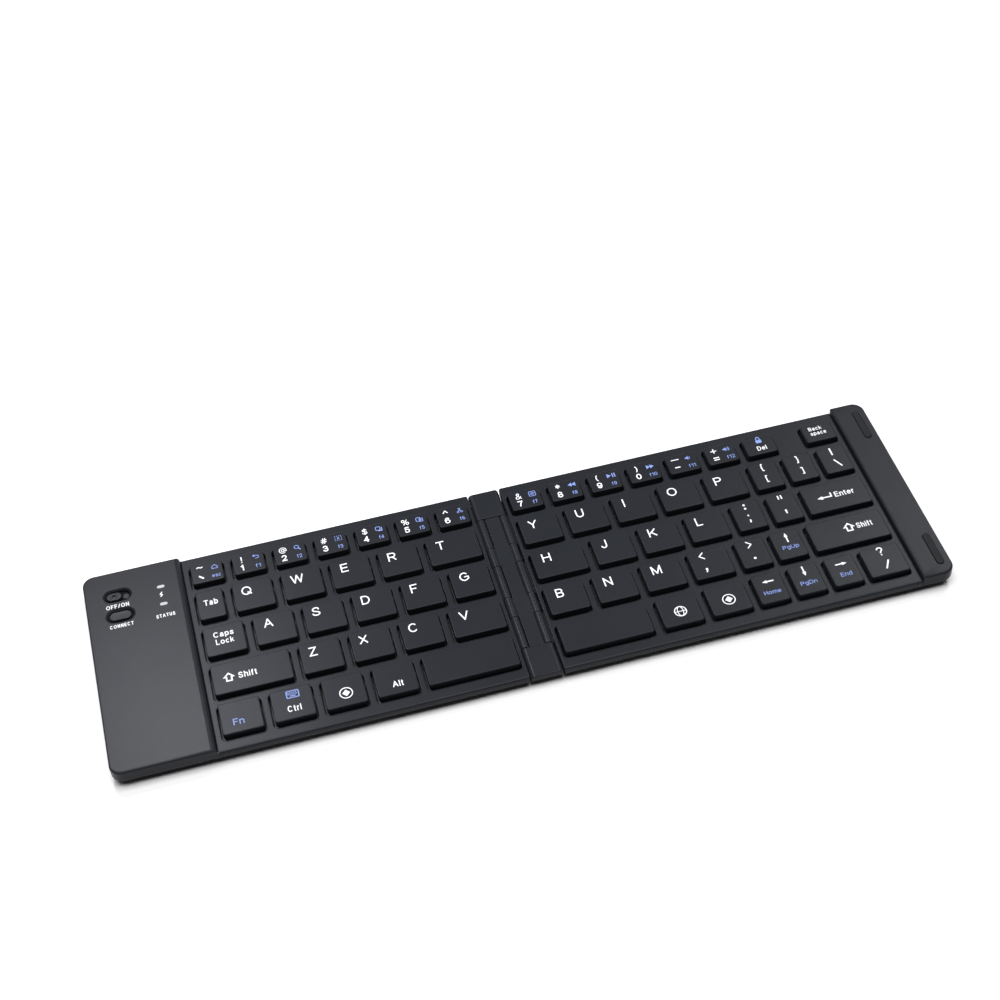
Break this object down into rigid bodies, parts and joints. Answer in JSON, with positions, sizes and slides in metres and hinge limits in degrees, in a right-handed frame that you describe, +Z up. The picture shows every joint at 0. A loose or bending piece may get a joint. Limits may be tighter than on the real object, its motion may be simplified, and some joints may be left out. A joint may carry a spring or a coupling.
{
  "type": "folding keyboard",
  "caption": "Compact keyboard in two halves that fold face to face on a narrow bridge with two parallel hinge lines, with a raised control block at the left end.",
  "frame": {"origin": "on the table, under the middle of the open keyboard", "axes": "+X to the typist's right along the length, +Y towards the back row, +Z up"},
  "size_m": [0.286, 0.0846, 0.0081],
  "materials": {
    "shell": "fine matt texture, charcoal",
    "keycap": "matt, charcoal, printed legends",
    "block": "matt, charcoal",
    "small_control": "matt, charcoal",
    "window": "milky, satin",
    "rubber": "matt black",
    "steel": "plain steel",
    "film": "clear film, printed",
    "silicone": "milky silicone",
    "link": "natural nylon",
    "board": "green solder mask",
    "cell": "pouch foil",
    "flex": "amber film"
  },
  "bodies": {
    "left_half": {"left_base_shell": "shell", "left_key_frame": "shell", "block_cover": "block", "left_hinge_leaf": "shell", "left_support_plate": "steel", "left_membrane": "film", "left_dome_sheet": "silicone", "left_scissor_links": "link", "control_board": "board", "battery": "cell", "power_switch": "small_control", "connect_switch": "small_control", "light_windows": "window", "charging_port": "steel", "left_feet": "rubber", "left_screws": "steel"},
    "bridge": {"hinge_bridge": "shell", "bridge_cover": "shell", "front_end_cap": "shell", "rear_end_cap": "shell", "left_hinge_pin": "steel", "right_hinge_pin": "steel", "ribbon_cable": "flex"},
    "right_half": {"right_base_shell": "shell", "right_key_frame": "shell", "end_strip": "block", "right_hinge_leaf": "shell", "right_support_plate": "steel", "right_membrane": "film", "right_dome_sheet": "silicone", "right_scissor_links": "link", "closing_pads": "rubber", "right_feet": "rubber", "right_screws": "steel"},
    "power_knob": {"power_knob": "small_control"},
    "connect_button": {"connect_button": "small_control"},
    "keys_numbers_left": {"keys_numbers_left": "keycap"},
    "key_tab": {"key_tab": "keycap"},
    "keys_qwert": {"keys_qwert": "keycap"},
    "key_caps_lock": {"key_caps_lock": "keycap"},
    "keys_asdfg": {"keys_asdfg": "keycap"},
    "key_shift_left": {"key_shift_left": "keycap"},
    "keys_zxcv": {"keys_zxcv": "keycap"},
    "key_fn": {"key_fn": "keycap"},
    "keys_ctrl_super_alt": {"keys_ctrl_super_alt": "keycap"},
    "key_space_left": {"key_space_left": "keycap"},
    "keys_numbers_right": {"keys_numbers_right": "keycap"},
    "key_delete": {"key_delete": "keycap"},
    "key_backspace": {"key_backspace": "keycap"},
    "keys_yuiop": {"keys_yuiop": "keycap"},
    "keys_brackets": {"keys_brackets": "keycap"},
    "keys_hjkl_quote": {"keys_hjkl_quote": "keycap"},
    "key_enter": {"key_enter": "keycap"},
    "keys_bnm_stop": {"keys_bnm_stop": "keycap"},
    "key_arrow_up": {"key_arrow_up": "keycap"},
    "key_shift_right": {"key_shift_right": "keycap"},
    "key_space_right": {"key_space_right": "keycap"},
    "keys_globe_menu": {"keys_globe_menu": "keycap"},
    "keys_arrows_side": {"keys_arrows_side": "keycap"},
    "key_slash": {"key_slash": "keycap"}
  },
  "joints": [
    {"name": "fold_left", "type": "hinge", "parent": "left_half", "child": "bridge", "pos_m": [-0.004, 0, 0.0039], "axis": [0, -1, 0], "range_deg": [0, 90]},
    {"name": "fold_right", "type": "hinge", "parent": "bridge", "child": "right_half", "pos_m": [0.004, 0, 0.0039], "axis": [0, -1, 0], "range_deg": [0, 90]},
    {"name": "off_on_slide", "type": "slide", "parent": "left_half", "child": "power_knob", "axis": [1, 0, 0], "range_m": [0, 0.0028]},
    {"name": "connect_press", "type": "slide", "parent": "left_half", "child": "connect_button", "axis": [0, 0, -1], "range_m": [0, 0.0005], "stiffness_N_per_m": 250},
    {"name": "press_numbers_left", "type": "slide", "parent": "left_half", "child": "keys_numbers_left", "axis": [0, 0, -1], "range_m": [0, 0.0012], "stiffness_N_per_m": 1750},
    {"name": "press_tab", "type": "slide", "parent": "left_half", "child": "key_tab", "axis": [0, 0, -1], "range_m": [0, 0.0012], "stiffness_N_per_m": 250},
    {"name": "press_qwert", "type": "slide", "parent": "left_half", "child": "keys_qwert", "axis": [0, 0, -1], "range_m": [0, 0.0012], "stiffness_N_per_m": 1250},
    {"name": "press_caps_lock", "type": "slide", "parent": "left_half", "child": "key_caps_lock", "axis": [0, 0, -1], "range_m": [0, 0.0012], "stiffness_N_per_m": 250},
    {"name": "press_asdfg", "type": "slide", "parent": "left_half", "child": "keys_asdfg", "axis": [0, 0, -1], "range_m": [0, 0.0012], "stiffness_N_per_m": 1250},
    {"name": "press_shift_left", "type": "slide", "parent": "left_half", "child": "key_shift_left", "axis": [0, 0, -1], "range_m": [0, 0.0012], "stiffness_N_per_m": 250},
    {"name": "press_zxcv", "type": "slide", "parent": "left_half", "child": "keys_zxcv", "axis": [0, 0, -1], "range_m": [0, 0.0012], "stiffness_N_per_m": 1000},
    {"name": "press_fn", "type": "slide", "parent": "left_half", "child": "key_fn", "axis": [0, 0, -1], "range_m": [0, 0.0012], "stiffness_N_per_m": 250},
    {"name": "press_ctrl_super_alt", "type": "slide", "parent": "left_half", "child": "keys_ctrl_super_alt", "axis": [0, 0, -1], "range_m": [0, 0.0012], "stiffness_N_per_m": 750},
    {"name": "press_space_left", "type": "slide", "parent": "left_half", "child": "key_space_left", "axis": [0, 0, -1], "range_m": [0, 0.0012], "stiffness_N_per_m": 250},
    {"name": "press_numbers_right", "type": "slide", "parent": "right_half", "child": "keys_numbers_right", "axis": [0, 0, -1], "range_m": [0, 0.0012], "stiffness_N_per_m": 1500},
    {"name": "press_delete", "type": "slide", "parent": "right_half", "child": "key_delete", "axis": [0, 0, -1], "range_m": [0, 0.0012], "stiffness_N_per_m": 250},
    {"name": "press_backspace", "type": "slide", "parent": "right_half", "child": "key_backspace", "axis": [0, 0, -1], "range_m": [0, 0.0012], "stiffness_N_per_m": 250},
    {"name": "press_yuiop", "type": "slide", "parent": "right_half", "child": "keys_yuiop", "axis": [0, 0, -1], "range_m": [0, 0.0012], "stiffness_N_per_m": 1250},
    {"name": "press_brackets", "type": "slide", "parent": "right_half", "child": "keys_brackets", "axis": [0, 0, -1], "range_m": [0, 0.0012], "stiffness_N_per_m": 750},
    {"name": "press_hjkl_quote", "type": "slide", "parent": "right_half", "child": "keys_hjkl_quote", "axis": [0, 0, -1], "range_m": [0, 0.0012], "stiffness_N_per_m": 1500},
    {"name": "press_enter", "type": "slide", "parent": "right_half", "child": "key_enter", "axis": [0, 0, -1], "range_m": [0, 0.0012], "stiffness_N_per_m": 250},
    {"name": "press_bnm_stop", "type": "slide", "parent": "right_half", "child": "keys_bnm_stop", "axis": [0, 0, -1], "range_m": [0, 0.0012], "stiffness_N_per_m": 1250},
    {"name": "press_arrow_up", "type": "slide", "parent": "right_half", "child": "key_arrow_up", "axis": [0, 0, -1], "range_m": [0, 0.0012], "stiffness_N_per_m": 250},
    {"name": "press_shift_right", "type": "slide", "parent": "right_half", "child": "key_shift_right", "axis": [0, 0, -1], "range_m": [0, 0.0012], "stiffness_N_per_m": 250},
    {"name": "press_space_right", "type": "slide", "parent": "right_half", "child": "key_space_right", "axis": [0, 0, -1], "range_m": [0, 0.0012], "stiffness_N_per_m": 250},
    {"name": "press_globe_menu", "type": "slide", "parent": "right_half", "child": "keys_globe_menu", "axis": [0, 0, -1], "range_m": [0, 0.0012], "stiffness_N_per_m": 500},
    {"name": "press_arrows_side", "type": "slide", "parent": "right_half", "child": "keys_arrows_side", "axis": [0, 0, -1], "range_m": [0, 0.0012], "stiffness_N_per_m": 750},
    {"name": "press_slash", "type": "slide", "parent": "right_half", "child": "key_slash", "axis": [0, 0, -1], "range_m": [0, 0.0012], "stiffness_N_per_m": 250}
  ]
}
